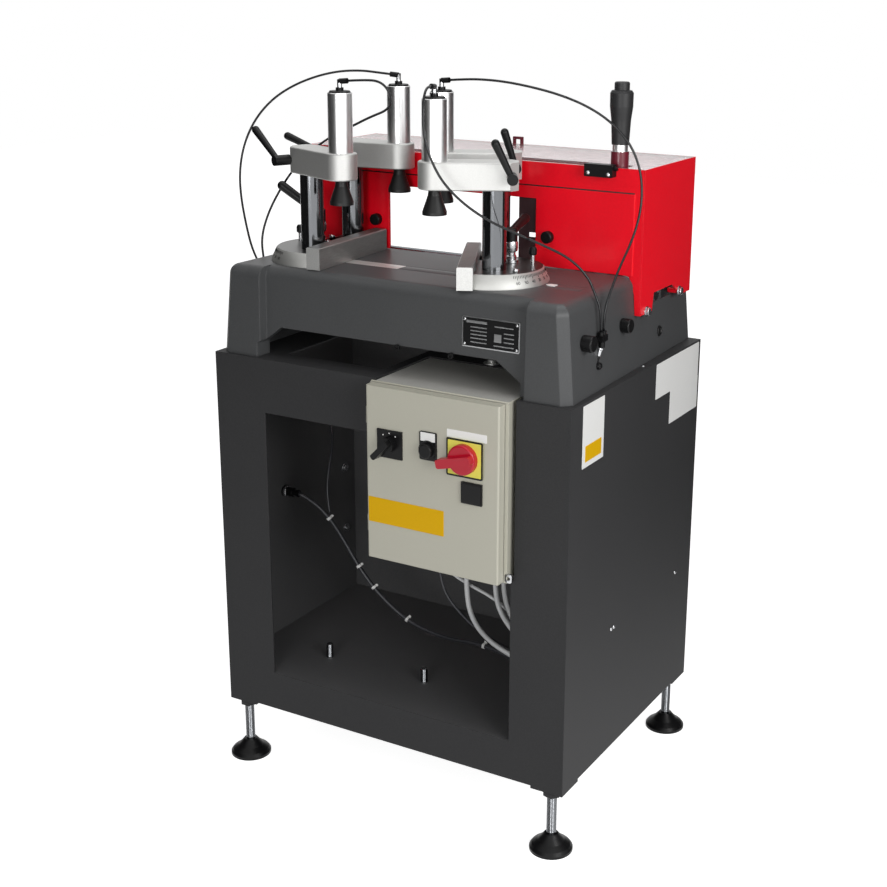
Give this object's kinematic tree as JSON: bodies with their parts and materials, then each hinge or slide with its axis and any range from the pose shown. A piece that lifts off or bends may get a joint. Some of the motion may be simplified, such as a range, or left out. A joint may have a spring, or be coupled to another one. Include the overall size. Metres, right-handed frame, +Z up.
{
  "type": "profile end milling machine",
  "caption": "Free-standing end milling machine: sheet-steel cabinet on levelling feet, cast table, swivelling air-clamp stations with fences, guarded hand-pushed cutter carriage, control box.",
  "frame": {"origin": "on the floor under the middle of the machine's box, without hoses and cables", "axes": "+X to the operator's right, +Y to the back, +Z up"},
  "size_m": [0.7713, 0.6184, 1.2686],
  "materials": {
    "dark_paint": "gloss textured",
    "red_paint": "gloss",
    "box_paint": "satin",
    "cast_aluminium": "satin cast",
    "chrome": "polished",
    "steel": "machined",
    "black_plastic": "matte",
    "black_rubber": "matte",
    "clear_sheet": "clear",
    "yellow_plastic": "gloss",
    "red_plastic": "gloss",
    "hose_plastic": "satin",
    "cable_plastic": "satin",
    "maroon_paint": "satin"
  },
  "bodies": {
    "base": {"cabinet": "dark_paint", "levelling_feet": "black_rubber", "table_casting": "dark_paint", "guide_bar": "steel", "guard_front": "red_paint", "guard_ends": "red_paint", "guard_rear_rail": "red_paint", "guard_top": "clear_sheet", "limit_switch": "black_plastic", "rails": "chrome", "box_body": "box_paint", "hose_splitters": "black_plastic", "left_hoses": "hose_plastic", "right_hoses": "hose_plastic", "air_tube": "hose_plastic", "box_cables": "cable_plastic"},
    "door": {"box_door": "box_paint", "switch_bezels": "black_plastic", "main_switch_plate": "yellow_plastic"},
    "main_switch": {"main_switch_handle": "red_plastic"},
    "selector": {"selector_knob": "black_plastic"},
    "button": {"push_button": "black_plastic"},
    "shutter_l": {"shutter_left": "red_paint"},
    "shutter_r": {"shutter_right": "red_paint"},
    "shutter_knob_l": {"shutter_knob_left": "black_plastic"},
    "shutter_knob_r": {"shutter_knob_right": "black_plastic"},
    "slide_unit": {"carriage": "steel", "motor": "dark_paint", "lever_stem": "maroon_paint", "lever_grip": "black_plastic"},
    "spindle": {"cutter_spindle": "steel"},
    "knob_front": {"side_knob_front": "black_plastic"},
    "knob_rear": {"side_knob_rear": "black_plastic"},
    "station_left": {"turntable_left": "cast_aluminium", "fence_left": "cast_aluminium", "columns_left": "chrome"},
    "lock_left": {"lock_lever_left": "black_plastic"},
    "plunger_left": {"index_plunger_left": "black_plastic"},
    "station_right": {"turntable_right": "cast_aluminium", "fence_right": "cast_aluminium", "columns_right": "chrome"},
    "lock_right": {"lock_lever_right": "black_plastic"},
    "plunger_right": {"index_plunger_right": "black_plastic"},
    "arm_lf": {"arm_lf": "cast_aluminium", "cylinder_lf": "cast_aluminium"},
    "foot_lf": {"clamp_foot_lf": "black_rubber"},
    "lever_lf": {"clamp_lever_lf": "black_plastic"},
    "arm_lr": {"arm_lr": "cast_aluminium", "cylinder_lr": "cast_aluminium"},
    "foot_lr": {"clamp_foot_lr": "black_rubber"},
    "lever_lr": {"clamp_lever_lr": "black_plastic"},
    "arm_rf": {"arm_rf": "cast_aluminium", "cylinder_rf": "cast_aluminium"},
    "foot_rf": {"clamp_foot_rf": "black_rubber"},
    "lever_rf": {"clamp_lever_rf": "black_plastic"},
    "arm_rr": {"arm_rr": "cast_aluminium", "cylinder_rr": "cast_aluminium"},
    "foot_rr": {"clamp_foot_rr": "black_rubber"},
    "lever_rr": {"clamp_lever_rr": "black_plastic"}
  },
  "joints": [
    {"name": "carriage_slide", "type": "slide", "parent": "base", "child": "slide_unit", "axis": [-1, 0, 0], "range_m": [0, 0.428]},
    {"name": "spindle_spin", "type": "hinge", "parent": "slide_unit", "child": "spindle", "pos_m": [0.205, 0.09675, 0.96], "axis": [0, 0, 1], "continuous": true},
    {"name": "door_hinge", "type": "hinge", "parent": "base", "child": "door", "pos_m": [-0.011, -0.26325, 0.64], "axis": [0, 0, -1], "range_deg": [0, 100]},
    {"name": "main_switch_turn", "type": "hinge", "parent": "door", "child": "main_switch", "pos_m": [0.184, -0.29525, 0.695], "axis": [0, 1, 0], "range_deg": [0, 90]},
    {"name": "selector_turn", "type": "hinge", "parent": "door", "child": "selector", "pos_m": [0.042, -0.29025, 0.695], "axis": [0, 1, 0], "range_deg": [0, 90]},
    {"name": "button_press", "type": "slide", "parent": "door", "child": "button", "axis": [0, 1, 0], "range_m": [0, 0.004], "stiffness_N_per_m": 600, "springref_m": -0.002},
    {"name": "shutter_left_slide", "type": "slide", "parent": "base", "child": "shutter_l", "axis": [1, 0, 0], "range_m": [0, 0.097]},
    {"name": "shutter_right_slide", "type": "slide", "parent": "base", "child": "shutter_r", "axis": [-1, 0, 0], "range_m": [-0.035, 0.062]},
    {"name": "shutter_knob_left_turn", "type": "hinge", "parent": "base", "child": "shutter_knob_l", "pos_m": [-0.189, 0.02875, 1], "axis": [0, 1, 0], "continuous": true},
    {"name": "shutter_knob_right_turn", "type": "hinge", "parent": "base", "child": "shutter_knob_r", "pos_m": [0.162, 0.02875, 1], "axis": [0, 1, 0], "continuous": true},
    {"name": "side_knob_front_turn", "type": "hinge", "parent": "base", "child": "knob_front", "pos_m": [0.34037, -0.17125, 0.879], "axis": [1, 0, 0], "continuous": true},
    {"name": "side_knob_rear_turn", "type": "hinge", "parent": "base", "child": "knob_rear", "pos_m": [0.33618, -0.01625, 0.876], "axis": [1, 0, 0], "continuous": true},
    {"name": "left_station_turn", "type": "hinge", "parent": "base", "child": "station_left", "pos_m": [-0.209, -0.09925, 0.96], "axis": [0, 0, 1], "range_deg": [-55, 0], "deforming": ["left_hoses"]},
    {"name": "left_lock_turn", "type": "hinge", "parent": "station_left", "child": "lock_left", "pos_m": [-0.23955, -0.07402, 0.995], "axis": [0, 0, 1], "range_deg": [-60, 60]},
    {"name": "left_plunger_pull", "type": "slide", "parent": "station_left", "child": "plunger_left", "axis": [0, 0, 1], "range_m": [0, 0.01], "stiffness_N_per_m": 600, "springref_m": -0.003},
    {"name": "right_station_turn", "type": "hinge", "parent": "base", "child": "station_right", "pos_m": [0.128, -0.09925, 0.96], "axis": [0, 0, 1], "range_deg": [-24, 30], "deforming": ["right_hoses"]},
    {"name": "right_lock_turn", "type": "hinge", "parent": "station_right", "child": "lock_right", "pos_m": [0.14203, -0.0622, 0.995], "axis": [0, 0, 1], "range_deg": [-90, 0]},
    {"name": "right_plunger_pull", "type": "slide", "parent": "station_right", "child": "plunger_right", "axis": [0, 0, 1], "range_m": [0, 0.01], "stiffness_N_per_m": 600, "springref_m": -0.003},
    {"name": "arm_lf_swing", "type": "hinge", "parent": "station_left", "child": "arm_lf", "pos_m": [-0.2115, -0.13296, 1.122], "axis": [0, 0, 1], "range_deg": [-2, 45], "deforming": ["left_hoses"]},
    {"name": "foot_lf_stroke", "type": "slide", "parent": "arm_lf", "child": "foot_lf", "axis": [0, 0, -1], "range_m": [0, 0.045], "stiffness_N_per_m": 250, "springref_m": -0.03},
    {"name": "lever_lf_turn", "type": "hinge", "parent": "arm_lf", "child": "lever_lf", "pos_m": [-0.25199, -0.15923, 1.1225], "axis": [-0.3907, -0.9205, 0], "range_deg": [-40, 40]},
    {"name": "arm_lr_swing", "type": "hinge", "parent": "station_left", "child": "arm_lr", "pos_m": [-0.21945, 0.00081, 1.122], "axis": [0, 0, 1], "range_deg": [-24, 0], "deforming": ["left_hoses"]},
    {"name": "foot_lr_stroke", "type": "slide", "parent": "arm_lr", "child": "foot_lr", "axis": [0, 0, -1], "range_m": [0, 0.045], "stiffness_N_per_m": 250, "springref_m": -0.03},
    {"name": "lever_lr_turn", "type": "hinge", "parent": "arm_lr", "child": "lever_lr", "pos_m": [-0.2436, -0.04098, 1.1225], "axis": [0.0698, -0.9976, 0], "range_deg": [-40, 40]},
    {"name": "arm_rf_swing", "type": "hinge", "parent": "station_right", "child": "arm_rf", "pos_m": [0.14688, -0.12729, 1.122], "axis": [0, 0, 1], "range_deg": [-25, 40], "deforming": ["right_hoses"]},
    {"name": "foot_rf_stroke", "type": "slide", "parent": "arm_rf", "child": "foot_rf", "axis": [0, 0, -1], "range_m": [0, 0.045], "stiffness_N_per_m": 250, "springref_m": -0.03},
    {"name": "lever_rf_turn", "type": "hinge", "parent": "arm_rf", "child": "lever_rf", "pos_m": [0.19026, -0.14843, 1.1225], "axis": [0.5, -0.866, 0], "range_deg": [-40, 40]},
    {"name": "arm_rr_swing", "type": "hinge", "parent": "station_right", "child": "arm_rr", "pos_m": [0.08751, -0.00716, 1.122], "axis": [0, 0, 1], "range_deg": [-8, 40], "deforming": ["right_hoses"]},
    {"name": "foot_rr_stroke", "type": "slide", "parent": "arm_rr", "child": "foot_rr", "axis": [0, 0, -1], "range_m": [0, 0.045], "stiffness_N_per_m": 250, "springref_m": -0.03},
    {"name": "lever_rr_turn", "type": "hinge", "parent": "arm_rr", "child": "lever_rr", "pos_m": [0.13089, -0.0283, 1.1225], "axis": [0.5, -0.866, 0], "range_deg": [-40, 40]}
  ]
}
